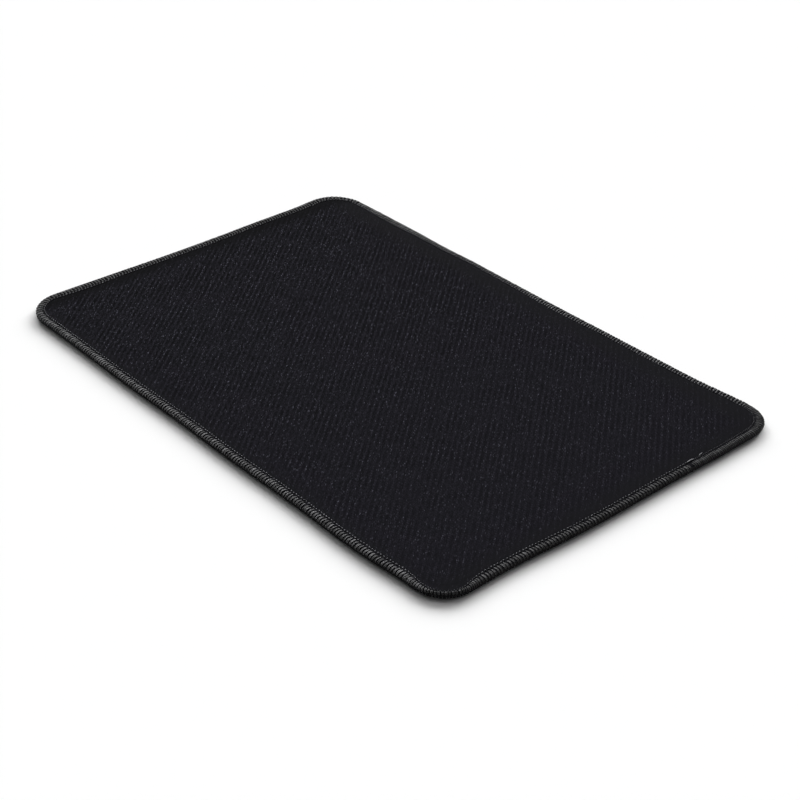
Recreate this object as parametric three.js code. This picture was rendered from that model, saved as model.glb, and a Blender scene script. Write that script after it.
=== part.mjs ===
// Rectangular cloth mouse pad with an overlocked edge, in millimetres, +Z up.
// The pad lies on its rubber underside. The origin is the middle of that face and X runs along the long side.
// Three sewing threads wrap the edge of a three-layer laminate: rubber, adhesive film and cloth.

import * as THREE from "three";

// Overall size, over the sewn edge
const padLength = 300;
const padWidth = 195;

// Layers of the laminate, from the bottom up
const rubberThickness = 2.6;
const filmThickness = 0.1;
const clothThickness = 0.5;

// Sewn edge, seen in section: a rounded nose outside, then a flat flange as far as the needle thread
const noseDepth = 2.0;
const flangeWidth = 1.9;
const looperThickness = 0.6;
const clothPinch = 0.1;
const shoulderWidth = 0.3;
const needleThreadWidth = 0.6;
const needleThreadHeight = 0.4;
const needleCornerRadius = 13.5;

// Play between a thread and what it passes, wherever they don't lie flat on each other
const threadClearance = 0.3;

// Facets in a quarter turn of a corner (twice this number) and in a quarter turn of the nose
const cornerDivisions = 5;
const noseSteps = 5;

// Heights above the surface that the pad lies on. The lower thread lies flush with the rubber's underside.
const rubberTop = rubberThickness;
const filmTop = rubberTop + filmThickness;
const clothTop = filmTop + clothThickness;
const marginBottom = looperThickness;
const marginTop = clothTop - clothPinch;
const seamTop = marginTop + looperThickness;
const seamMiddle = seamTop / 2;

// Distances inward from the outermost line of the pad
const flangeEnd = noseDepth + flangeWidth;
const needleLine = flangeEnd + threadClearance + needleThreadWidth / 2;
const marginEnd = needleLine + needleThreadWidth / 2 + threadClearance;
const workingFaceEdge = marginEnd + shoulderWidth;
const undersideEdge = needleLine + threadClearance;
const cornerRadius = needleCornerRadius + needleLine;

// Rounded rectangle that lies a given distance inside the outermost line, as points anticlockwise from above
function outlineAt(inset) {
  const radius = cornerRadius - inset;
  const centreX = padLength / 2 - cornerRadius;
  const centreY = padWidth / 2 - cornerRadius;
  const quarter = Math.PI / 2;
  const shape = new THREE.Shape();
  shape.absarc(centreX, centreY, radius, 0, quarter);
  shape.absarc(-centreX, centreY, radius, quarter, 2 * quarter);
  shape.absarc(-centreX, -centreY, radius, 2 * quarter, 3 * quarter);
  shape.absarc(centreX, -centreY, radius, 3 * quarter, 4 * quarter);
  return shape.getPoints(cornerDivisions);
}

// Part of the rounded nose in section, from one height to another. The nose reaches out to its tip and is flat
// from its crown. Points hold the distance inward as x and the height as y.
// Rounding can take a sine just past one, so it is clamped.
function noseCurve(tip, crown, halfHeight, fromHeight, toHeight) {
  const sine = (height) => THREE.MathUtils.clamp((height - seamMiddle) / halfHeight, -1, 1);
  const curve = new THREE.EllipseCurve(
    crown, seamMiddle, crown - tip, halfHeight,
    Math.PI - Math.asin(sine(fromHeight)), Math.PI - Math.asin(sine(toHeight)), toHeight > fromHeight);
  return curve.getPoints(noseSteps);
}

// Outer skin of the threads, their inner skin, and the cut edge of the laminate that they hold in
function threadSkin(fromHeight, toHeight) {
  return noseCurve(0, noseDepth, seamMiddle, fromHeight, toHeight);
}

function threadLining(fromHeight, toHeight) {
  return noseCurve(looperThickness, noseDepth, seamMiddle - marginBottom, fromHeight, toHeight);
}

function laminateEdge(fromHeight, toHeight) {
  const tip = looperThickness + threadClearance;
  const crown = noseDepth + threadClearance;
  return noseCurve(tip, crown, seamMiddle - marginBottom, fromHeight, toHeight);
}

const at = (inset, height) => new THREE.Vector2(inset, height);

// Solid whose section is carried round the pad. A ring's section closes on itself, counted up its outer side.
// A plate's section runs from the rim of its lower face up to the rim of its upper face, and both are filled.
function carryRound(section, isRing) {
  const outlines = section.map((point) => outlineAt(point.x));
  const count = outlines[0].length;
  const positions = section.flatMap((point, row) => outlines[row].flatMap((p) => [p.x, p.y, point.y]));
  const triangles = [];
  const rows = isRing ? section.length : section.length - 1;
  for (let row = 0; row < rows; row += 1) {
    const lower = row * count;
    const upper = ((row + 1) % section.length) * count;
    for (let i = 0; i < count; i += 1) {
      const next = (i + 1) % count;
      triangles.push(lower + i, lower + next, upper + next);
      triangles.push(lower + i, upper + next, upper + i);
    }
  }
  if (!isRing) {
    const top = (section.length - 1) * count;
    for (const [a, b, c] of THREE.ShapeUtils.triangulateShape(outlines[0], [])) {
      triangles.push(c, b, a);
      triangles.push(top + a, top + b, top + c);
    }
  }
  const geometry = new THREE.BufferGeometry();
  geometry.setAttribute("position", new THREE.Float32BufferAttribute(positions, 3));
  geometry.setIndex(triangles);
  geometry.computeVertexNormals();
  return geometry;
}

// Foam rubber plate, its margin cut back underneath so that the lower thread lies flush
function rubberBase() {
  return carryRound([
    at(undersideEdge, 0),
    at(undersideEdge, marginBottom),
    ...laminateEdge(marginBottom, seamMiddle),
    ...laminateEdge(seamMiddle, rubberTop).slice(1),
  ], false);
}

// Hot-melt film between the rubber and the cloth
function adhesiveFilm() {
  const edge = laminateEdge(rubberTop, filmTop);
  return carryRound([edge.at(0), edge.at(-1)], false);
}

// Cloth face, with its margin drawn down a little by the stitches
function clothFace() {
  return carryRound([
    ...laminateEdge(filmTop, marginTop),
    at(marginEnd, marginTop),
    at(workingFaceEdge, clothTop),
  ], false);
}

// Thread that covers the top of the edge and the upper half of its nose
function upperLooper() {
  return carryRound([
    ...threadSkin(seamMiddle, seamTop),
    at(flangeEnd, seamTop),
    at(flangeEnd, marginTop),
    ...threadLining(marginTop, seamMiddle),
  ], true);
}

// Thread that covers the underside of the edge and the lower half of its nose
function lowerLooper() {
  return carryRound([
    ...threadSkin(0, seamMiddle),
    ...threadLining(seamMiddle, marginBottom),
    at(needleLine, marginBottom),
    at(needleLine, 0),
  ], true);
}

// Needle thread, a low half-round line of stitches on the cloth
function needleLineThread() {
  const section = new THREE.EllipseCurve(
    needleLine, marginTop, needleThreadWidth / 2, needleThreadHeight, Math.PI, 0, true);
  return carryRound(section.getPoints(noseSteps), true);
}

const rubber = new THREE.MeshStandardMaterial({ color: "#1b1b1c", roughness: 0.85, metalness: 0 });
const film = new THREE.MeshStandardMaterial({ color: "#3a3a3c", roughness: 0.5, metalness: 0 });
const cloth = new THREE.MeshStandardMaterial({ color: "#1f1e23", roughness: 0.9, metalness: 0 });
const thread = new THREE.MeshStandardMaterial({ color: "#3c3c3e", roughness: 0.6, metalness: 0 });

const pad = new THREE.Group();

function addPiece(name, geometry, material) {
  const piece = new THREE.Mesh(geometry, material);
  piece.name = name;
  pad.add(piece);
}

addPiece("rubber_base", rubberBase(), rubber);
addPiece("adhesive_film", adhesiveFilm(), film);
addPiece("cloth_top", clothFace(), cloth);
addPiece("upper_looper_thread", upperLooper(), thread);
addPiece("lower_looper_thread", lowerLooper(), thread);
addPiece("needle_thread", needleLineThread(), thread);

export default pad;
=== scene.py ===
import math
from types import SimpleNamespace

import bmesh
import bpy
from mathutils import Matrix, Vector


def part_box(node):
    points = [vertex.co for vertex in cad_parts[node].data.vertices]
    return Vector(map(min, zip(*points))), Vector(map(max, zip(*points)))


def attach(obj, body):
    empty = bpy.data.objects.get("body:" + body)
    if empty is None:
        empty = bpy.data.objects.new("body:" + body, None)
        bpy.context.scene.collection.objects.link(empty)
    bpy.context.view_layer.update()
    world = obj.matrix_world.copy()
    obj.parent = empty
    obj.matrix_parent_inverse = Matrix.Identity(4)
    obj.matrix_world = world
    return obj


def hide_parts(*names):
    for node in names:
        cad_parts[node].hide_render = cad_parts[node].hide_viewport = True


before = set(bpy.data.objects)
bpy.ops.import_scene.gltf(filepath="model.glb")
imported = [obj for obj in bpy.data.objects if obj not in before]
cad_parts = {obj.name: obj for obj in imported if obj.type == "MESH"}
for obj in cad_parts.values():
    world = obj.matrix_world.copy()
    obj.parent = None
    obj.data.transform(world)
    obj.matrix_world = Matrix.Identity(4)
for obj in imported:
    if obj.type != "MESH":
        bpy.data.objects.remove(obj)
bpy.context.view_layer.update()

# Units: every piece is drawn in millimetres and scaled to metres when it is finished
MILLIMETRE = 0.001

# Sizes taken from the frame, in millimetres
seam_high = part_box("upper_looper_thread")[1] / MILLIMETRE
cloth_low, cloth_high = (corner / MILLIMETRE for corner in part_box("cloth_top"))
rubber_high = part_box("rubber_base")[1] / MILLIMETRE

HALF_LENGTH = seam_high.x
HALF_WIDTH = seam_high.y
SEAM_TOP = seam_high.z
SEAM_MIDDLE = SEAM_TOP / 2
RUBBER_TOP = rubber_high.z
FILM_TOP = cloth_low.z
CLOTH_TOP = cloth_high.z

# The laminate under the seam: its margin is pressed thin and its edge is a rounded nose
CORNER_RADIUS = 18.0
NEEDLE_INSET = 4.5
NOSE_INSET = 2.0
NOSE_TIP = 0.5
NOSE_REACH = NOSE_INSET - NOSE_TIP
LOOPER_THICKNESS = 0.6
MARGIN_TOP = SEAM_TOP - LOOPER_THICKNESS
MARGIN_BOTTOM = SEAM_TOP - MARGIN_TOP
NOSE_HEIGHT = MARGIN_TOP - SEAM_MIDDLE
CLOTH_CUT_EDGE = 0.1

# The seam: a dense three-thread overlock round the whole edge
THREAD_RADIUS = 0.155
LEG_PARTING = 0.2
LEG_SWELL = 1.15
NEEDLE_THREAD_RADIUS = 0.2
DASH_LENGTH = 0.64
DASH_ARCH = 0.16
DASH_OUTWARD = 0.35
STITCH_PITCH = 1.655
SEAM_LENGTH = (
    4 * (HALF_LENGTH + HALF_WIDTH - 2 * CORNER_RADIUS)
    + 2 * math.pi * (CORNER_RADIUS - NEEDLE_INSET)
)

# The seam starts and ends on one short side, where it leaves a short gap
JOIN_Y = 43.5
JOIN_GAP = 1.4

# How the stitches follow each other, from one place along the seam to the next: their pitch and fullness.
# They lie closer and thinner past the join, where the seam runs over itself, and at the tightest corner
STITCH_RUNS = [
    (JOIN_GAP, 58, 1.0, 0.6),
    (58, 783, STITCH_PITCH, 1.0),
    (783, 812, 1.07, 0.8),
    (812, SEAM_LENGTH, STITCH_PITCH, 1.0),
]

# Sizes of the waves that lean the stitches, which are longer across the seam, and that bend them
LEANING_SIZE = 1.3
LEANING_STRETCH = 4
BENDING_SIZE = 1.6

# Size of the squares that the layers are cut into, and of the lattice that draws the edge
GRID_SIZE = 8.0

# Steps in which the layers go round each corner, and the sharpest angle that is shaded smooth
CORNER_STEPS = 14
SMOOTH_ANGLE = math.radians(40)

# Where sewing drew the soft edge in or let it out: place, pull and reach
EDGE_PULLS = [
    ((146, 95), (1.3, 1.1), 17),
    ((130, 96), (0.0, 1.7), 28),
    ((-20, 96), (0.0, 0.25), 65),
    ((-46, 96), (0.0, 0.5), 24),
    ((-84, 96), (0.0, 0.3), 20),
    ((-108, 96), (0.0, 1.15), 50),
    ((-142, 92), (-0.9, 1.2), 17),
    ((-147, 82), (-2.0, 0.0), 18),
    ((-148, 58), (-0.75, 0.0), 48),
    ((-148, -20), (0.65, 0.0), 60),
    ((-148, -55), (-0.35, 0.0), 50),
    ((-144, -84), (-0.2, -0.3), 22),
    ((-60, -96), (0.0, -0.5), 50),
    ((16, -96), (0.0, -0.5), 40),
    ((92, -96), (0.0, -0.5), 24),
    ((131, -96), (0.0, 1.6), 22),
    ((148, -58), (-0.55, 0.0), 22),
    ((148, -14), (0.9, 0.0), 34),
    ((148, 14), (0.4, 0.0), 20),
    ((148, 60), (0.2, 0.0), 24),
    ((148, 79), (-0.6, 0.0), 14),
]

# How far the short side at -X curls up off the table, and how far in the curl reaches
CURL_HEIGHT = 0.5
CURL_REACH = 16.0

# Where the needle ran further from the edge or nearer to it: place along the seam, change and reach
WIDTH_PULLS = [
    (50, -0.8, 24),
    (111, -0.4, 30),
    (172, -1.2, 34),
    (228, 0.5, 34),
    (291, -1.1, 30),
    (345, -1.1, 30),
    (420, -1.7, 130),
    (487, -1.5, 30),
    (799, 3.5, 15),
]

# Stretches of the seam, each with a lattice of its own, that meet where the needle keeps its distance
WIDTH_STRETCHES = [(0, 262), (262, 600), (600, SEAM_LENGTH)]


# Helpers for modelling

def deselect_all():
    """Leaves edit mode and deselects every object."""
    if bpy.context.mode != "OBJECT":
        bpy.ops.object.mode_set(mode="OBJECT")
    bpy.ops.object.select_all(action="DESELECT")


def make_active(piece):
    """Selects one piece alone and makes it the active object."""
    deselect_all()
    piece.select_set(True)
    bpy.context.view_layer.objects.active = piece


def apply_modifier(piece, kind, **settings):
    """Adds a modifier with its settings and applies it at once."""
    make_active(piece)
    modifier = piece.modifiers.new(kind.lower(), kind)
    for name, value in settings.items():
        setattr(modifier, name, value)
    bpy.ops.object.modifier_apply(modifier=modifier.name)


def select_faces(chosen):
    """Selects the faces of the mesh in edit mode for which chosen(face) is true."""
    bpy.ops.mesh.select_mode(type="FACE")
    bpy.ops.mesh.select_all(action="DESELECT")
    mesh = bmesh.from_edit_mesh(bpy.context.edit_object.data)
    for face in mesh.faces:
        face.select_set(chosen(face))
    bmesh.update_edit_mesh(bpy.context.edit_object.data)


def join_pieces(pieces):
    """Joins pieces into the first of them."""
    make_active(pieces[0])
    for piece in pieces[1:]:
        piece.select_set(True)
    bpy.ops.object.join()
    return bpy.context.object


# The pad's outline and its layers

def rounded_sheet(name, inset, height):
    """A flat face with the pad's outline drawn in by inset, left in edit mode and selected."""
    deselect_all()
    bpy.ops.mesh.primitive_plane_add(size=2, location=(0, 0, height))
    piece = bpy.context.object
    piece.name = name
    piece.data.name = name
    piece.scale = (HALF_LENGTH - inset, HALF_WIDTH - inset, 1)
    bpy.ops.object.transform_apply(location=True, scale=True)
    bpy.ops.object.mode_set(mode="EDIT")
    bpy.ops.mesh.select_all(action="SELECT")
    bpy.ops.mesh.bevel(
        affect="VERTICES",
        offset=CORNER_RADIUS - inset,
        offset_type="OFFSET",
        segments=CORNER_STEPS,
        profile=0.5,
        clamp_overlap=False,
    )
    return piece


def step_in(steps, inset, height, faces_up):
    """Insets the selected face along a section, given as (inset, height) points."""
    for next_inset, next_height in steps:
        rise = next_height - height
        bpy.ops.mesh.inset(
            thickness=next_inset - inset,
            depth=rise if faces_up else -rise,
            use_even_offset=True,
        )
        inset, height = next_inset, next_height


def nose_point(degrees):
    """(inset, height) on the laminate's rounded edge, from -90 at the bottom to 90 at the top."""
    angle = math.radians(degrees)
    return (
        NOSE_INSET - NOSE_REACH * math.cos(angle),
        SEAM_MIDDLE + NOSE_HEIGHT * math.sin(angle),
    )


def nose_angle(height):
    """The angle, in degrees, at which the laminate's rounded edge has this height."""
    return math.degrees(math.asin((height - SEAM_MIDDLE) / NOSE_HEIGHT))


def cut_grid():
    """Cuts the mesh in edit mode into squares between its corners."""
    reach_x = HALF_LENGTH - CORNER_RADIUS
    reach_y = HALF_WIDTH - CORNER_RADIUS
    for direction, reach in (((1, 0, 0), reach_x), ((0, 1, 0), reach_y)):
        count = round(2 * reach / GRID_SIZE)
        for number in range(1, count):
            place = Vector(direction) * (2 * number / count - 1) * reach
            bpy.ops.mesh.select_all(action="SELECT")
            bpy.ops.mesh.bisect(plane_co=place, plane_no=direction)


def layer(name, low, wall_top, upper_section, lower_section):
    """A closed layer: a wall from low straight up to wall_top, stepped in above and below along its
    two sections."""
    inset, wall_bottom = low
    piece = rounded_sheet(name, inset, wall_bottom)
    bpy.ops.mesh.extrude_region_move(TRANSFORM_OT_translate={"value": (0, 0, wall_top - wall_bottom)})
    bpy.ops.mesh.select_all(action="SELECT")
    bpy.ops.mesh.normals_make_consistent(inside=False)
    select_faces(lambda face: face.normal.z > 0.5)
    step_in(upper_section, inset, wall_top, True)
    select_faces(lambda face: face.normal.z < -0.5)
    step_in(lower_section, inset, wall_bottom, False)
    cut_grid()
    bpy.ops.object.mode_set(mode="OBJECT")
    bpy.ops.object.shade_smooth_by_angle(angle=SMOOTH_ANGLE)
    return piece


def rubber_layer():
    """The foam-rubber base: its edge is squeezed thin and round by the seam, and its underside comes
    down to the table in a soft step inside the needle line."""
    # The edge stands upright for this many degrees below and above its middle
    upright = 11
    lower = [nose_point(angle) for angle in (-34, -57, -79, -90)]
    lower += [(4.4, MARGIN_BOTTOM), (4.65, 0.42), (4.85, 0.12), (5.1, 0.02), (5.5, 0.0)]
    upper = [nose_point(nose_angle(RUBBER_TOP))]
    return layer("foam_rubber_base", nose_point(-upright), nose_point(upright)[1], upper, lower)


def film_layer():
    """The hot-melt film that glues the cloth to the rubber."""
    low = nose_point(nose_angle(RUBBER_TOP))
    return layer("hot_melt_film", low, FILM_TOP, [nose_point(nose_angle(FILM_TOP))], [])


def cloth_layer():
    """The woven face: flat where the mouse runs, and drawn down in a soft step under the seam."""
    low = nose_point(nose_angle(FILM_TOP))
    upper = [nose_point(angle) for angle in (58, 79, 90)]
    upper += [(4.7, MARGIN_TOP), (5.0, MARGIN_TOP + 0.02), (5.3, CLOTH_TOP - 0.03), (5.8, CLOTH_TOP)]
    return layer("woven_cloth_face", low, FILM_TOP + CLOTH_CUT_EDGE, upper, [])


# Guides that bend the seam and draw the edge

def seam_line():
    """The needle line as a closed Bezier curve, from the join round the pad and back."""
    x = HALF_LENGTH - NEEDLE_INSET
    y = HALF_WIDTH - NEEDLE_INSET
    radius = CORNER_RADIUS - NEEDLE_INSET
    straight_handle = 10
    arc_handle = radius * 4 / 3 * math.tan(math.pi / 8)
    corners = [(1, 1), (-1, 1), (-1, -1), (1, -1)]
    points = []
    for number, (side_x, side_y) in enumerate(corners):
        middle = Vector((side_x * (x - radius), side_y * (y - radius)))
        along_x = Vector((side_x, 0))
        along_y = Vector((0, side_y))
        start, end = (along_x, along_y) if number % 2 == 0 else (along_y, along_x)
        points.append((middle + radius * start, end, straight_handle, arc_handle))
        points.append((middle + radius * end, -start, arc_handle, straight_handle))
    # A closed curve is measured from its last knot
    points.append(((x, JOIN_Y), (0, 1), straight_handle, straight_handle))
    data = bpy.data.curves.new("seam_line", "CURVE")
    data.dimensions = "3D"
    data.twist_mode = "Z_UP"
    data.resolution_u = 64
    spline = data.splines.new("BEZIER")
    spline.bezier_points.add(len(points) - 1)
    spline.use_cyclic_u = True
    for knot, (place, heading, before, after) in zip(spline.bezier_points, points):
        place = Vector((*place, 0))
        heading = Vector((*heading, 0))
        knot.handle_left_type = "FREE"
        knot.handle_right_type = "FREE"
        knot.co = place
        knot.handle_left = place - heading * before
        knot.handle_right = place + heading * after
    line = bpy.data.objects.new("seam_line", data)
    bpy.context.scene.collection.objects.link(line)
    return line


def nearness(distance, reach):
    """1 at no distance, and smoothly down to 0 at its reach."""
    return max(0, 1 - (distance / reach) ** 2) ** 2


def uneven_width(start, end):
    """A lattice over one stretch of the unrolled seam, between its needle row and its outer edge."""
    data = bpy.data.lattices.new("uneven_width")
    data.points_u = 64
    data.points_v = 2
    data.points_w = 1
    data.interpolation_type_v = "KEY_LINEAR"
    cell = (end - start) / (data.points_u - 1)
    for point in data.points:
        along = point.co.x * cell + (start + end) / 2
        pulled = sum(pull * nearness(along - middle, reach) for middle, pull, reach in WIDTH_PULLS)
        if point.co.y > 0:
            point.co_deform = point.co - Vector((0, pulled / NEEDLE_INSET, 0))
    lattice = bpy.data.objects.new("uneven_width", data)
    lattice.location = ((start + end) / 2, -NEEDLE_INSET / 2, 0)
    lattice.scale = (cell, NEEDLE_INSET, 1)
    bpy.context.scene.collection.objects.link(lattice)
    return lattice


def seam_guides():
    """What bends the stitches: the needle line, the lattices that vary the seam's width, and an empty
    that stretches the leaning waves across the seam."""
    line = seam_line()
    widths = [uneven_width(start, end) for start, end in WIDTH_STRETCHES]
    leaning = bpy.data.objects.new("stretched_noise", None)
    leaning.scale = (1, LEANING_STRETCH, LEANING_STRETCH)
    bpy.context.scene.collection.objects.link(leaning)
    return SimpleNamespace(line=line, widths=widths, leaning=leaning)


def drawn_edge():
    """A lattice over the pad, pulled a little in and out where sewing drew its soft edge, and up where
    one short side curls."""
    data = bpy.data.lattices.new("drawn_edge")
    # One row of points lies on the middle, and a spare row outside each edge
    data.points_u = 2 * math.ceil(HALF_LENGTH / GRID_SIZE) + 3
    data.points_v = 2 * math.ceil(HALF_WIDTH / GRID_SIZE) + 3
    data.points_w = 1
    for point in data.points:
        place = point.co.xy * GRID_SIZE
        pulled = Vector((0, 0))
        for middle, pull, reach in EDGE_PULLS:
            pulled += nearness((place - Vector(middle)).length, reach) * Vector(pull)
        curl = CURL_HEIGHT * nearness(place.x + HALF_LENGTH, CURL_REACH)
        point.co_deform = point.co + Vector((*pulled, curl)) / GRID_SIZE
    lattice = bpy.data.objects.new("drawn_edge", data)
    lattice.scale = (GRID_SIZE,) * 3
    bpy.context.scene.collection.objects.link(lattice)
    return lattice


# The seam's threads

def strand(name, points, radius, number=0):
    """One length of thread as a closed mesh, through points (along, outward, height, fullness).
    Its stitch number is kept in its UV map."""
    data = bpy.data.curves.new(name, "CURVE")
    data.dimensions = "3D"
    data.twist_mode = "MINIMUM"
    data.bevel_depth = radius
    data.bevel_resolution = 1
    data.use_fill_caps = True
    spline = data.splines.new("POLY")
    spline.points.add(len(points) - 1)
    for knot, (along, outward, height, fullness) in zip(spline.points, points):
        knot.co = (along, -outward, height, 1)
        knot.radius = fullness
    piece = bpy.data.objects.new(name, data)
    bpy.context.scene.collection.objects.link(piece)
    make_active(piece)
    bpy.ops.object.convert(target="MESH")
    piece = bpy.context.object
    bpy.ops.object.mode_set(mode="EDIT")
    bpy.ops.mesh.select_all(action="SELECT")
    bpy.ops.mesh.remove_doubles(threshold=0.001)
    bpy.ops.mesh.normals_make_consistent(inside=False)
    bpy.ops.object.mode_set(mode="OBJECT")
    bpy.ops.object.shade_smooth()
    for corner in piece.data.uv_layers.active.data:
        corner.uv.y += number
    return piece


def looper_nose(degrees, radius):
    """(outward, height) of the middle of a looper thread of this radius, laid on the rounded edge."""
    angle = math.radians(degrees)
    return (
        NEEDLE_INSET - NOSE_INSET + (NOSE_REACH + radius) * math.cos(angle),
        SEAM_MIDDLE + (NOSE_HEIGHT + radius) * math.sin(angle),
    )


def looper_loop(name, fullness):
    """One looper stitch: a narrow loop from the needle hole over the edge and back.
    Its two legs are drawn thin and close at the needle, and swell and part over the edge."""
    radius = THREAD_RADIUS * fullness
    parting = LEG_PARTING * fullness
    swollen = LEG_SWELL * radius
    # Points of one leg: its share of the parting, then outward, height and fullness
    one_leg = [
        (0.3, 0.65, MARGIN_TOP - 0.30, 0.55),
        (0.5, 1.05, MARGIN_TOP - 0.08, 0.65),
        (0.7, 1.60, MARGIN_TOP + 0.06, 0.85),
        (1.0, *looper_nose(90, swollen), LEG_SWELL),
        (1.0, *looper_nose(60, swollen), LEG_SWELL),
        (1.0, *looper_nose(27, swollen), 1.0),
    ]
    turn = (0.0, *looper_nose(4, radius), 0.8)
    leaving = [(-share * parting, *rest) for share, *rest in one_leg]
    returning = [(share * parting, *rest) for share, *rest in reversed(one_leg)]
    return strand(name, [*leaving, turn, *returning], radius)


def lower_loop(name, fullness):
    """One looper stitch, turned over to the pad's underside."""
    piece = looper_loop(name, fullness)
    make_active(piece)
    piece.scale = (1, 1, -1)
    piece.location = (0, 0, SEAM_TOP)
    bpy.ops.object.transform_apply(location=True, scale=True)
    bpy.ops.object.mode_set(mode="EDIT")
    bpy.ops.mesh.select_all(action="SELECT")
    bpy.ops.mesh.normals_make_consistent(inside=False)
    bpy.ops.object.mode_set(mode="OBJECT")
    return piece


def needle_dash(name, fullness):
    """One needle stitch: a short arched dash between two needle holes."""
    high = MARGIN_TOP + NEEDLE_THREAD_RADIUS + DASH_ARCH
    half_length = DASH_LENGTH / 2 * fullness ** 2
    # Points of one half: share of its length, then height and fullness
    one_half = [(1.0, high - 0.50, 0.7), (0.75, high - 0.14, 0.9), (0.3, high, 1.0)]
    before = [(-share * half_length, DASH_OUTWARD, *rest) for share, *rest in one_half]
    after = [(share * half_length, DASH_OUTWARD, *rest) for share, *rest in reversed(one_half)]
    return strand(name, [*before, *after], NEEDLE_THREAD_RADIUS * fullness)


def sew(piece, guides, first, count, pitch, waviness, unevenness):
    """Repeats one stitch along the seam, leans and bends the stitches unevenly and takes the row round
    the pad. Every stitch shifts its UV map on by one, so that a material can tell the stitches apart."""
    make_active(piece)
    bpy.ops.transform.translate(value=(first, 0, 0))
    bpy.ops.object.transform_apply(location=True)
    apply_modifier(
        piece,
        "ARRAY",
        fit_type="FIXED_COUNT",
        count=count,
        use_relative_offset=False,
        use_constant_offset=True,
        constant_offset_displace=(pitch, 0, 0),
        offset_v=1.0,
    )
    leaning = bpy.data.textures.new(piece.name + "_leaning", "CLOUDS")
    leaning.noise_scale = LEANING_SIZE
    leaning.noise_depth = 0
    apply_modifier(
        piece,
        "DISPLACE",
        texture=leaning,
        texture_coords="OBJECT",
        texture_coords_object=guides.leaning,
        direction="X",
        strength=waviness,
        mid_level=0.5,
    )
    bending = bpy.data.textures.new(piece.name + "_bending", "CLOUDS")
    bending.noise_scale = BENDING_SIZE
    bending.noise_depth = 1
    bending.cloud_type = "COLOR"
    apply_modifier(
        piece,
        "DISPLACE",
        texture=bending,
        texture_coords="LOCAL",
        direction="RGB_TO_XYZ",
        strength=unevenness,
        mid_level=0.5,
    )
    for lattice in guides.widths:
        apply_modifier(piece, "LATTICE", object=lattice)
    apply_modifier(piece, "CURVE", object=guides.line, deform_axis="POS_X")
    return piece


def sew_round(name, stitch, guides, shift, waviness, unevenness):
    """Sews a row of stitches round the pad, run by run, each stitch shifted by a share of its pitch."""
    rows = []
    for start, end, rough_pitch, fullness in STITCH_RUNS:
        count = round((end - start) / rough_pitch)
        pitch = (end - start) / count
        row = stitch(name, fullness)
        rows.append(sew(row, guides, start + shift * pitch, count, pitch, waviness, unevenness))
    return join_pieces(rows)


def upper_looper(guides):
    """The upper looper thread: narrow loops over the edge."""
    return sew_round(
        "upper_looper_stitches", looper_loop, guides, shift=0.0, waviness=0.5, unevenness=0.35
    )


def lower_looper(guides):
    """The lower looper thread: the same loops under the pad, half a stitch on."""
    return sew_round(
        "lower_looper_stitches", lower_loop, guides, shift=0.5, waviness=0.6, unevenness=0.12
    )


def needle_row(guides):
    """The needle thread: a row of dashes, with a long loose stitch and a cut end at the join."""
    dashes = sew_round(
        "needle_stitches", needle_dash, guides, shift=0.5, waviness=0.4, unevenness=0.35
    )
    loose_stitch = strand("loose_stitch", [
        (-0.6, 0.20, MARGIN_TOP + 0.10, 0.5),
        (0.4, 0.10, MARGIN_TOP + 0.22, 1.1),
        (1.8, 0.05, MARGIN_TOP + 0.28, 1.5),
        (3.2, 0.00, MARGIN_TOP + 0.24, 1.2),
        (4.2, 0.00, MARGIN_TOP + 0.12, 0.5),
    ], NEEDLE_THREAD_RADIUS, number=15)
    cut_end = strand("cut_end", [
        (7.4, 0.00, MARGIN_TOP + 0.12, 0.6),
        (8.0, -0.30, CLOTH_TOP + 0.14, 0.9),
        (9.0, -0.55, CLOTH_TOP + 0.20, 1.1),
        (10.0, -0.60, CLOTH_TOP + 0.14, 0.8),
    ], NEEDLE_THREAD_RADIUS, number=6)
    for piece in (loose_stitch, cut_end):
        apply_modifier(piece, "CURVE", object=guides.line, deform_axis="POS_X")
    return join_pieces([dashes, loose_stitch, cut_end])


# Node materials

def linear(code):
    """An sRGB hex colour as linear RGBA."""
    values = [int(code[place:place + 2], 16) / 255 for place in (1, 3, 5)]
    return [v / 12.92 if v <= 0.04045 else ((v + 0.055) / 1.055) ** 2.4 for v in values] + [1.0]


def add_node(tree, kind, inputs=None, **settings):
    """Adds a node, sets its properties, and fills its inputs with values or with links.
    A node given for an input is linked from its first output."""
    made = tree.nodes.new(kind)
    for name, value in settings.items():
        setattr(made, name, value)
    for name, value in (inputs or {}).items():
        if isinstance(value, bpy.types.Node):
            value = value.outputs[0]
        if isinstance(value, bpy.types.NodeSocket):
            tree.links.new(value, made.inputs[name])
        else:
            made.inputs[name].default_value = value
    return made


def new_material(name, **sockets):
    """A material with one Principled shader, and that shader and its tree."""
    material = bpy.data.materials.new(name)
    material.use_nodes = True
    tree = material.node_tree
    shader = tree.nodes["Principled BSDF"]
    for socket, value in sockets.items():
        shader.inputs[socket.replace("_", " ")].default_value = value
    return material, tree, shader


def seen_rays(tree):
    """1 for rays from the eye, straight or by way of a reflection or a clear piece, and else 0."""
    rays = add_node(tree, "ShaderNodeLightPath").outputs
    seen = rays["Is Camera Ray"]
    for other in ("Is Glossy Ray", "Is Transmission Ray"):
        seen = add_node(tree, "ShaderNodeMath", {0: seen, 1: rays[other]}, operation="MAXIMUM")
    return seen.outputs[0]


# The rubber's open cells, and the squares of the grip print under it
CELL_SIZE = 0.35 * MILLIMETRE
CELL_DEPTH = 0.05 * MILLIMETRE
WAFFLE_SIZE = 2.0 * MILLIMETRE
WAFFLE_DEPTH = 0.15 * MILLIMETRE


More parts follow.
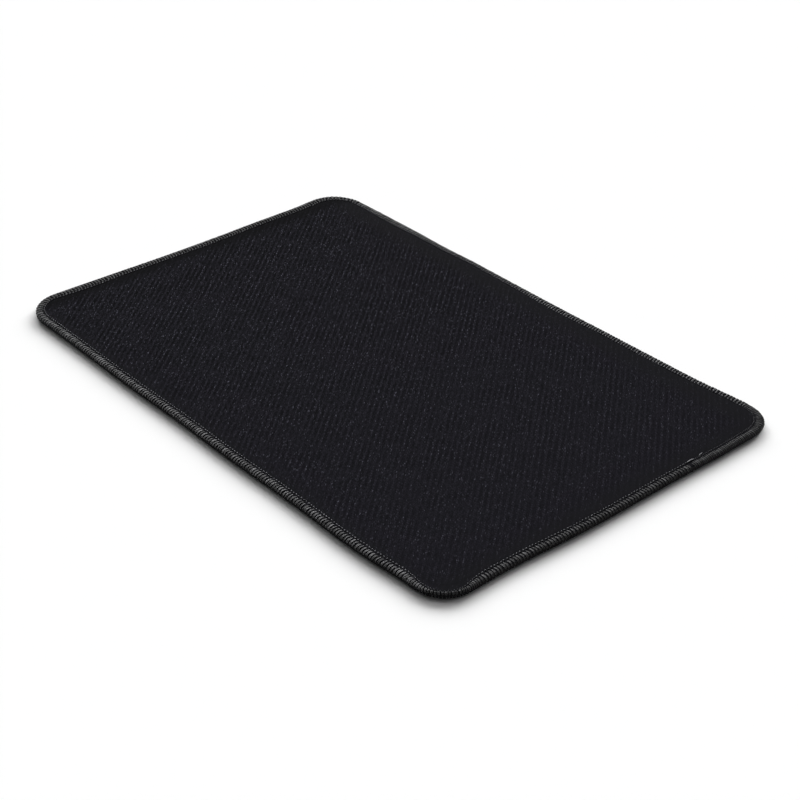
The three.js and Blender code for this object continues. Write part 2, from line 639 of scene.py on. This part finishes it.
def foam_rubber():
    """Black natural foam rubber, calendered: matt, with a fine open grain, and a waffle print of small
    squares pressed into its underside for grip."""
    material, tree, shader = new_material("black_foam_rubber", IOR=1.52, Specular_IOR_Level=0.15)
    place = add_node(tree, "ShaderNodeTexCoord").outputs["Object"]
    cells = add_node(tree, "ShaderNodeTexVoronoi", {"Vector": place, "Scale": 1 / CELL_SIZE})
    distance = cells.outputs["Distance"]
    colour = add_node(tree, "ShaderNodeValToRGB", {"Fac": distance})
    colour.color_ramp.elements[0].color = linear("#0b0b0b")
    colour.color_ramp.elements[1].color = linear("#1e1e1f")
    rough = add_node(tree, "ShaderNodeMapRange", {"Value": distance, "To Min": 0.92, "To Max": 0.74})
    waffle = add_node(
        tree,
        "ShaderNodeVectorMath",
        {0: place, "Scale": math.pi / WAFFLE_SIZE},
        operation="SCALE",
    )
    waffle = add_node(tree, "ShaderNodeVectorMath", {0: waffle}, operation="SINE")
    waffle = add_node(tree, "ShaderNodeVectorMath", {0: waffle}, operation="ABSOLUTE")
    sides = add_node(tree, "ShaderNodeSeparateXYZ", {0: waffle}).outputs
    squares = add_node(tree, "ShaderNodeMath", {0: sides[0], 1: sides[1]}, operation="MINIMUM")
    print_bump = add_node(
        tree,
        "ShaderNodeBump",
        {"Strength": 0.8, "Distance": WAFFLE_DEPTH, "Height": squares},
    )
    grain_bump = add_node(
        tree,
        "ShaderNodeBump",
        {"Strength": 0.4, "Distance": CELL_DEPTH, "Height": distance, "Normal": print_bump},
    )
    tree.links.new(colour.outputs[0], shader.inputs["Base Color"])
    tree.links.new(rough.outputs[0], shader.inputs["Roughness"])
    tree.links.new(grain_bump.outputs[0], shader.inputs["Normal"])
    return material


# The dimples that the weave pressed into the film
DIMPLE_SIZE = 0.9 * MILLIMETRE
DIMPLE_DEPTH = 0.05 * MILLIMETRE


def hot_melt_film():
    """Grey polyurethane hot-melt film, pressed between cloth and rubber: smooth, with the dimples
    that the weave left in it while it was soft."""
    material, tree, shader = new_material("grey_hot_melt_film", IOR=1.5, Specular_IOR_Level=0.4)
    place = add_node(tree, "ShaderNodeTexCoord").outputs["Object"]
    dimples = add_node(
        tree,
        "ShaderNodeTexNoise",
        {"Vector": place, "Scale": 1 / DIMPLE_SIZE, "Detail": 2.0},
    )
    colour = add_node(tree, "ShaderNodeValToRGB", {"Fac": dimples})
    colour.color_ramp.elements[0].color = linear("#161617")
    colour.color_ramp.elements[1].color = linear("#2a2a2b")
    rough = add_node(tree, "ShaderNodeMapRange", {"Value": dimples, "To Min": 0.35, "To Max": 0.6})
    bump = add_node(
        tree,
        "ShaderNodeBump",
        {"Strength": 0.4, "Distance": DIMPLE_DEPTH, "Height": dimples},
    )
    tree.links.new(colour.outputs[0], shader.inputs["Base Color"])
    tree.links.new(rough.outputs[0], shader.inputs["Roughness"])
    tree.links.new(bump.outputs[0], shader.inputs["Normal"])
    return material


# The weave of a warp-faced twill, drawn coarser than real so that it shows. Each warp yarn floats over
# all but one of its picks, the weft yarns of one repeat, and the diagonal lines lie about 2.5 mm apart
WARP_SPACING = 0.82 * MILLIMETRE
WEFT_SPACING = 0.945 * MILLIMETRE
PICKS = 4
FLOAT_DEPTH = 0.05 * MILLIMETRE

# The fibres along those lines, coarser than real too, each row set on by a share of a fibre's length
FIBRE_WIDTH = 0.26 * MILLIMETRE
FIBRE_LENGTH = 1.0 * MILLIMETRE
FIBRE_STAGGER = 0.382

# Painted shade in the hollows of the weave, painted highlight on its floats, and the tone of cloth on
# which neither shows
HOLLOW_PAINTED_SHADE = 0.68
FLOAT_PAINTED_HIGHLIGHT = 2.1
PLAIN_TONE = 1.0

# Size of the patches in which the lines are clear, and the share of them that shows in between
PATCH_SIZE = 9.0 * MILLIMETRE
FAINT_LINES = 0.4

# Contrast of the cloth at its fresh short side and at its rubbed one
FRESH_RELIEF = 1.5
RUBBED_RELIEF = 0.7

# The smooth margin along the seam: its reach, how much further it reaches on the long side at +Y and less
# at -Y, and the share of the weave that still shows at the needle line
SMOOTH_MARGIN = 16.0 * MILLIMETRE
MARGIN_SHIFT = 4.0 * MILLIMETRE
MARGIN_WEAVE = 0.3

# Painted shade on the cloth where the short side curls up
CURL_PAINTED_SHADE = 0.5


def twill_cloth():
    """Black polyester twill, woven and left matt: each warp yarn floats over three weft yarns and
    dips under one, so short dashes step into faint diagonal lines, with painted highlight on the floats,
    painted shade in the hollows and painted glints on a few fibres."""
    material, tree, shader = new_material(
        "black_polyester_twill", Roughness=0.9, IOR=1.5, Specular_IOR_Level=0.01
    )
    place = add_node(tree, "ShaderNodeTexCoord").outputs["Object"]
    split = add_node(tree, "ShaderNodeSeparateXYZ", {0: place}).outputs
    across = add_node(tree, "ShaderNodeMath", {0: split[0], 1: WARP_SPACING}, operation="DIVIDE")
    up = add_node(tree, "ShaderNodeMath", {0: split[1], 1: WEFT_SPACING}, operation="DIVIDE")
    warp = add_node(tree, "ShaderNodeMath", {0: across}, operation="FLOOR")
    in_warp = add_node(tree, "ShaderNodeMath", {0: across}, operation="FRACT")
    stepped = add_node(tree, "ShaderNodeMath", {0: up, 1: warp}, operation="ADD")
    repeats = add_node(tree, "ShaderNodeMath", {0: stepped, 1: PICKS}, operation="DIVIDE")
    in_dash = add_node(tree, "ShaderNodeMath", {0: repeats}, operation="FRACT")

    # Round back of a warp yarn, and the arch of its float over three of the four picks
    back = add_node(tree, "ShaderNodeMath", {0: in_warp, 1: 0.5}, operation="PINGPONG")
    back = add_node(
        tree,
        "ShaderNodeMapRange",
        {"Value": back, "From Min": 0.0, "From Max": 0.4},
        interpolation_type="SMOOTHSTEP",
    )
    half_wave = math.pi * PICKS / (PICKS - 1)
    arch = add_node(tree, "ShaderNodeMath", {0: in_dash, 1: half_wave}, operation="MULTIPLY")
    arch = add_node(tree, "ShaderNodeMath", {0: arch}, operation="SINE", use_clamp=True)
    height = add_node(tree, "ShaderNodeMath", {0: back, 1: arch}, operation="MULTIPLY")
    # The weave's height is painted as shade in its hollows and as highlight on its floats
    lines = add_node(
        tree,
        "ShaderNodeMapRange",
        {"Value": height, "From Min": 0.4, "To Min": HOLLOW_PAINTED_SHADE, "To Max": FLOAT_PAINTED_HIGHLIGHT},
    )

    # The lines stand out in patches and are rubbed down between them
    patches = add_node(
        tree,
        "ShaderNodeTexNoise",
        {"Vector": place, "Scale": 1 / PATCH_SIZE, "Detail": 1.0},
    )
    patches = add_node(
        tree,
        "ShaderNodeMapRange",
        {"Value": patches, "From Min": 0.35, "From Max": 0.6, "To Min": FAINT_LINES},
        interpolation_type="SMOOTHSTEP",
    )
    lines = add_node(tree, "ShaderNodeMix", {0: patches, 2: PLAIN_TONE, 3: lines}, data_type="FLOAT")

    # The fibres lie along the diagonal lines and differ in tone by chance, and a few of them carry
    # painted glints
    lean = math.atan2(WARP_SPACING, WEFT_SPACING)
    laid = add_node(
        tree,
        "ShaderNodeMapping",
        {"Vector": place, "Rotation": (0, 0, lean), "Scale": (FIBRE_WIDTH, FIBRE_LENGTH, 1)},
        vector_type="TEXTURE",
    )
    laid = add_node(tree, "ShaderNodeSeparateXYZ", {0: laid}).outputs
    row = add_node(tree, "ShaderNodeMath", {0: laid[0]}, operation="FLOOR")
    along = add_node(
        tree,
        "ShaderNodeMath",
        {0: row, 1: FIBRE_STAGGER, 2: laid[1]},
        operation="MULTIPLY_ADD",
    )
    along = add_node(tree, "ShaderNodeMath", {0: along}, operation="FLOOR")
    fibre = add_node(tree, "ShaderNodeCombineXYZ", {0: row, 1: along})
    chance = add_node(tree, "ShaderNodeTexWhiteNoise", {"Vector": fibre}, noise_dimensions="2D")
    fibres = add_node(tree, "ShaderNodeValToRGB", {"Fac": chance.outputs["Value"]})
    ramp = fibres.color_ramp
    ramp.elements[0].color = linear("#0f0f12")
    # The brightest stop of the ramp paints the glints
    ramp.elements[1].color = linear("#46464f")
    for position, code in ((0.3, "#16161a"), (0.6, "#1a191e"), (0.85, "#1e1d23"), (0.97, "#27262c")):
        ramp.elements.new(position).color = linear(code)
    colour = add_node(tree, "ShaderNodeVectorMath", {0: fibres, "Scale": lines}, operation="SCALE")

    # Use has rubbed the weave flatter towards one short side
    relief = add_node(
        tree,
        "ShaderNodeMapRange",
        {
            "Value": split[0],
            "From Min": -HALF_LENGTH * MILLIMETRE,
            "From Max": HALF_LENGTH * MILLIMETRE,
            "To Min": FRESH_RELIEF,
            "To Max": RUBBED_RELIEF,
        },
    )
    colour = add_node(
        tree,
        "ShaderNodeMix",
        {0: relief, 6: linear("#1d1c21"), 7: colour},
        data_type="RGBA",
        clamp_factor=False,
        clamp_result=True,
    )

    # Along the seam the presser foot has ironed the weave smooth, more widely on one long side
    edges = (HALF_LENGTH * MILLIMETRE, HALF_WIDTH * MILLIMETRE, 0)
    shift = (0, MARGIN_SHIFT, 0)
    inside = add_node(tree, "ShaderNodeVectorMath", {0: place, 1: shift}, operation="ADD")
    inside = add_node(tree, "ShaderNodeVectorMath", {0: inside}, operation="ABSOLUTE")
    inside = add_node(tree, "ShaderNodeVectorMath", {0: edges, 1: inside}, operation="SUBTRACT")
    inside = add_node(tree, "ShaderNodeSeparateXYZ", {0: inside}).outputs
    inside = add_node(tree, "ShaderNodeMath", {0: inside[0], 1: inside[1]}, operation="MINIMUM")
    rough_weave = add_node(
        tree,
        "ShaderNodeMapRange",
        {
            "Value": inside,
            "From Min": NEEDLE_INSET * MILLIMETRE,
            "From Max": SMOOTH_MARGIN,
            "To Min": MARGIN_WEAVE,
        },
        interpolation_type="SMOOTHSTEP",
    )
    woven = add_node(
        tree,
        "ShaderNodeMix",
        {0: rough_weave, 6: linear("#19191b"), 7: colour.outputs[2]},
        data_type="RGBA",
    )

    # Where one short side curls up, the cloth inside the seam is painted darker: painted shade, as if it
    # lay away from the light
    curl_shade = add_node(
        tree,
        "ShaderNodeMapRange",
        {
            "Value": split[0],
            "From Min": (CURL_REACH / 2 - HALF_LENGTH) * MILLIMETRE,
            "From Max": (CURL_REACH - HALF_LENGTH) * MILLIMETRE,
            "To Min": CURL_PAINTED_SHADE,
        },
        interpolation_type="SMOOTHSTEP",
    )
    woven = add_node(
        tree,
        "ShaderNodeVectorMath",
        {0: woven.outputs[2], "Scale": curl_shade},
        operation="SCALE",
    )
    bump = add_node(
        tree,
        "ShaderNodeBump",
        {"Strength": 0.5, "Distance": FLOAT_DEPTH, "Height": height},
    )
    tree.links.new(woven.outputs[0], shader.inputs["Base Color"])
    tree.links.new(bump.outputs[0], shader.inputs["Normal"])
    return material


# The thread's plies and its fluff, and how much each of them, and chance, adds to a stitch's tone
PLIES = 2
PLY_DEPTH = 0.08 * MILLIMETRE
FLUFF_SIZE = 0.6 * MILLIMETRE
PLY_SHARE = 0.3
FLUFF_SHARE = 0.4
CHANCE_SHARE = 0.3

# Tones along half a stitch, by place: a looper thread has a painted highlight at its crown and is painted
# darker towards the needle and
# # towards its turn at 0.5, a painted shade, and a needle dash is even
LOOPER_PAINTED_LIGHT = [(0.1, 0.36), (0.18, 0.58), (0.235, 1.0), (0.265, 1.0), (0.3, 0.64), (0.345, 0.34)]
DASH_TONES = [(0.25, 1.0)]

# Painted shade along the pad's length, by share of it: the threads are painted darker at the short sides
# than along the long ones
LENGTH_PAINTED_SHADE = [(0.015, 0.35), (0.06, 1.0), (0.94, 1.0), (0.985, 0.72)]

# Painted shade on the threads of the long side at +Y, against 1 at -Y
FAR_SIDE_PAINTED_SHADE = 0.72

# Tones at which the thread has its dark colour and its light one
DARK_TONE = 0.1
LIGHT_TONE = 0.5


def sewing_thread(name, dark, light, turns, gloss, tones):
    """Textured polyester sewing thread, two plies twisted together: grey, with a soft gloss, with
    painted light and shade along each stitch and along the pad. The piece's own UV map runs round the
    thread and along it, so the plies follow it, with this many turns to a stitch. The tones are those
    along half a stitch, painted light and shade for a looper thread."""
    material, tree, shader = new_material(name, Roughness=0.5, IOR=1.57, Specular_IOR_Level=gloss)
    coordinates = add_node(tree, "ShaderNodeTexCoord").outputs
    split = add_node(tree, "ShaderNodeSeparateXYZ", {0: coordinates["UV"]}).outputs
    round_thread = split[0]
    along_thread = split[1]
    twist = add_node(tree, "ShaderNodeMath", {0: along_thread, 1: turns}, operation="MULTIPLY")
    twist = add_node(tree, "ShaderNodeMath", {0: round_thread, 1: twist}, operation="ADD")
    ply = add_node(tree, "ShaderNodeMath", {0: twist, 1: PLIES * 2 * math.pi}, operation="MULTIPLY")
    ply = add_node(tree, "ShaderNodeMath", {0: ply}, operation="SINE")
    ply = add_node(tree, "ShaderNodeMapRange", {"Value": ply, "From Min": -1.0})
    fluff = add_node(
        tree,
        "ShaderNodeTexNoise",
        {"Vector": coordinates["Object"], "Scale": 1 / FLUFF_SIZE, "Detail": 1.0},
    )
    stitch = add_node(tree, "ShaderNodeMath", {0: along_thread}, operation="FLOOR")
    chance = add_node(tree, "ShaderNodeTexWhiteNoise", {"W": stitch}, noise_dimensions="1D")
    tone = add_node(tree, "ShaderNodeMath", {0: ply, 1: PLY_SHARE}, operation="MULTIPLY")
    for part, share in ((fluff.outputs[0], FLUFF_SHARE), (chance.outputs["Value"], CHANCE_SHARE)):
        tone = add_node(tree, "ShaderNodeMath", {0: part, 1: share, 2: tone}, operation="MULTIPLY_ADD")

    # Painted light and shade: the tone changes along each stitch and along the pad, and falls from one
    # long side to the other
    place = add_node(tree, "ShaderNodeSeparateXYZ", {0: coordinates["Object"]}).outputs
    in_stitch = add_node(tree, "ShaderNodeMath", {0: along_thread, 1: 0.5}, operation="PINGPONG")
    in_length = add_node(
        tree,
        "ShaderNodeMapRange",
        {
            "Value": place[0],
            "From Min": -HALF_LENGTH * MILLIMETRE,
            "From Max": HALF_LENGTH * MILLIMETRE,
        },
    )
    for where, stops in ((in_stitch, tones), (in_length, LENGTH_PAINTED_SHADE)):
        # Each ramp paints light and shade into the thread's tone
        painted_tone = add_node(tree, "ShaderNodeValToRGB", {"Fac": where})
        elements = painted_tone.color_ramp.elements
        elements.remove(elements[1])
        elements[0].color = (stops[0][1],) * 3 + (1,)
        for position, value in stops:
            elements.new(position).color = (value,) * 3 + (1,)
        tone = add_node(tree, "ShaderNodeMath", {0: tone, 1: painted_tone}, operation="MULTIPLY")
    # Painted shade: the threads of the far long side are darker
    far_side_shade = add_node(
        tree,
        "ShaderNodeMapRange",
        {
            "Value": place[1],
            "From Min": -HALF_WIDTH * MILLIMETRE,
            "From Max": HALF_WIDTH * MILLIMETRE,
            "To Min": 1.0,
            "To Max": FAR_SIDE_PAINTED_SHADE,
        },
    )
    tone = add_node(tree, "ShaderNodeMath", {0: tone, 1: far_side_shade}, operation="MULTIPLY")
    colour = add_node(tree, "ShaderNodeValToRGB", {"Fac": tone})
    ramp = colour.color_ramp
    ramp.elements[0].position = DARK_TONE
    ramp.elements[0].color = linear(dark)
    ramp.elements[1].position = LIGHT_TONE
    ramp.elements[1].color = linear(light)
    bump = add_node(tree, "ShaderNodeBump", {"Strength": 0.5, "Distance": PLY_DEPTH, "Height": ply})
    tree.links.new(colour.outputs[0], shader.inputs["Base Color"])
    tree.links.new(bump.outputs[0], shader.inputs["Normal"])
    return material


def studio_white():
    """The pale floor: painted board, matt, white to the eye and in reflections. It throws little
    light back up under the pad's edge."""
    material, tree, shader = new_material("studio_white", Roughness=1.0, Specular_IOR_Level=0.0)
    colour = add_node(
        tree,
        "ShaderNodeMix",
        {0: seen_rays(tree), 6: linear("#303030"), 7: linear("#fbfbfb")},
        data_type="RGBA",
    )
    tree.links.new(colour.outputs[2], shader.inputs["Base Color"])
    return material


# Finishing and lighting

def finish_piece(piece, edge, material, slot, *nodes):
    """Draws a piece's edge, scales it to metres, gives it its material and hangs it on the frame."""
    apply_modifier(piece, "LATTICE", object=edge)
    piece.scale = (MILLIMETRE,) * 3
    bpy.ops.object.transform_apply(location=True, rotation=True, scale=True)
    piece.data.materials.clear()
    piece.data.materials.append(material)
    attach(piece, "root")
    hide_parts(*nodes)


def direction_to(azimuth, elevation):
    """The direction from the pad to an azimuth and an elevation in degrees."""
    turn = math.radians(azimuth)
    tilt = math.radians(elevation)
    return Vector((
        math.sin(turn) * math.cos(tilt),
        -math.cos(turn) * math.cos(tilt),
        math.sin(tilt),
    ))


def soft_light(name, azimuth, elevation, spread, share, lit_things):
    """A wide soft lamp, placed by azimuth and elevation in degrees, that gives a level face its share
    of the plain light in which a colour renders as it is written."""
    toward = direction_to(azimuth, elevation)
    bpy.ops.object.light_add(type="SUN", location=toward)
    lamp = bpy.context.object
    lamp.name = name
    lamp.rotation_mode = "QUATERNION"
    lamp.rotation_quaternion = toward.to_track_quat("Z", "Y")
    lamp.data.angle = math.radians(spread)
    lamp.data.energy = share * math.pi / math.sin(math.radians(elevation))
    lit = bpy.data.collections.new(name + "_lights")
    for thing in lit_things:
        lit.objects.link(thing)
    lamp.light_linking.receiver_collection = lit


# The pieces

guides = seam_guides()
rubber = rubber_layer()
film = film_layer()
cloth = cloth_layer()
upper = upper_looper(guides)
lower = lower_looper(guides)
needle = needle_row(guides)
edge = drawn_edge()

looper_thread = sewing_thread(
    "textured_looper_thread", dark="#1a1a1b", light="#e4e4e7", turns=10, gloss=0.22, tones=LOOPER_PAINTED_LIGHT
)
# The lower looper is the same thread as the upper one, with darker colours as painted shade for the
# underside of the edge
lower_thread = sewing_thread(
    "shaded_looper_thread", dark="#1f1f20", light="#48484a", turns=10, gloss=0.14, tones=LOOPER_PAINTED_LIGHT
)
needle_thread = sewing_thread(
    "spun_needle_thread", dark="#424244", light="#9c9ca2", turns=2, gloss=0.22, tones=DASH_TONES
)

finish_piece(rubber, edge, foam_rubber(), "rubber", "rubber_base")
finish_piece(film, edge, hot_melt_film(), "film", "adhesive_film")
finish_piece(cloth, edge, twill_cloth(), "cloth", "cloth_top")
finish_piece(upper, edge, looper_thread, "thread", "upper_looper_thread")
finish_piece(lower, edge, lower_thread, "thread", "lower_looper_thread")
finish_piece(needle, edge, needle_thread, "thread", "needle_thread")
for helper in (guides.line, *guides.widths, guides.leaning, edge):
    bpy.data.objects.remove(helper)

# The floor, in metres, just under the pad
FLOOR_SIZE = 12
FLOOR_DROP = 0.05 * MILLIMETRE

deselect_all()
bpy.ops.mesh.primitive_plane_add(size=FLOOR_SIZE, location=(0, 0, -FLOOR_DROP))
floor = bpy.context.object
floor.name = "studio_floor"
floor.data.materials.append(studio_white())

# The camera's place, in degrees and metres
CAMERA_AZIMUTH = 49.669
CAMERA_ELEVATION = 31.917
CAMERA_DISTANCE = 0.77458
CAMERA_AIM = Vector((0.03184, -0.01516, 0.0032))

back = direction_to(CAMERA_AZIMUTH, CAMERA_ELEVATION)
deselect_all()
bpy.ops.object.camera_add(location=CAMERA_AIM + back * CAMERA_DISTANCE)
camera = bpy.context.object
camera.name = "camera"
camera.rotation_mode = "QUATERNION"
camera.rotation_quaternion = (-back).to_track_quat("-Z", "Y")
camera.data.lens = 80
camera.data.sensor_width = 36
camera.data.clip_start = 0.01
camera.data.clip_end = 50
bpy.context.scene.camera = camera

# The pad has one lamp. The floor has two rows of lamps, which soften the pad's shadow: each row has its
# azimuths, elevation and spread, in degrees, and the share of the light that each of its lamps gives
FLOOR_LIGHTS = [
    ("low_floor_light", (198, 222, 246), 20, 22, 0.228),
    ("high_floor_light", (178, 222, 266), 34, 50, 0.105),
]

soft_light(
    "pad_light",
    azimuth=248,
    elevation=35,
    spread=24,
    share=0.965,
    lit_things=[rubber, film, cloth, upper, lower, needle],
)
for name, azimuths, elevation, spread, share in FLOOR_LIGHTS:
    for azimuth in azimuths:
        soft_light(f"{name}_{azimuth}", azimuth, elevation, spread, share, [floor])

# The world is white to the eye and in reflections, and fills the shade with a little light
FILL_LIGHT = 0.042

world = bpy.data.worlds.new("studio")
bpy.context.scene.world = world
world.use_nodes = True
tree = world.node_tree
background = tree.nodes["Background"]
background.inputs["Color"].default_value = linear("#ffffff")
strength = add_node(
    tree,
    "ShaderNodeMapRange",
    {"Value": seen_rays(tree), "To Min": FILL_LIGHT, "To Max": 1.0},
)
tree.links.new(strength.outputs["Result"], background.inputs["Strength"])

bpy.context.scene.view_settings.view_transform = "Standard"
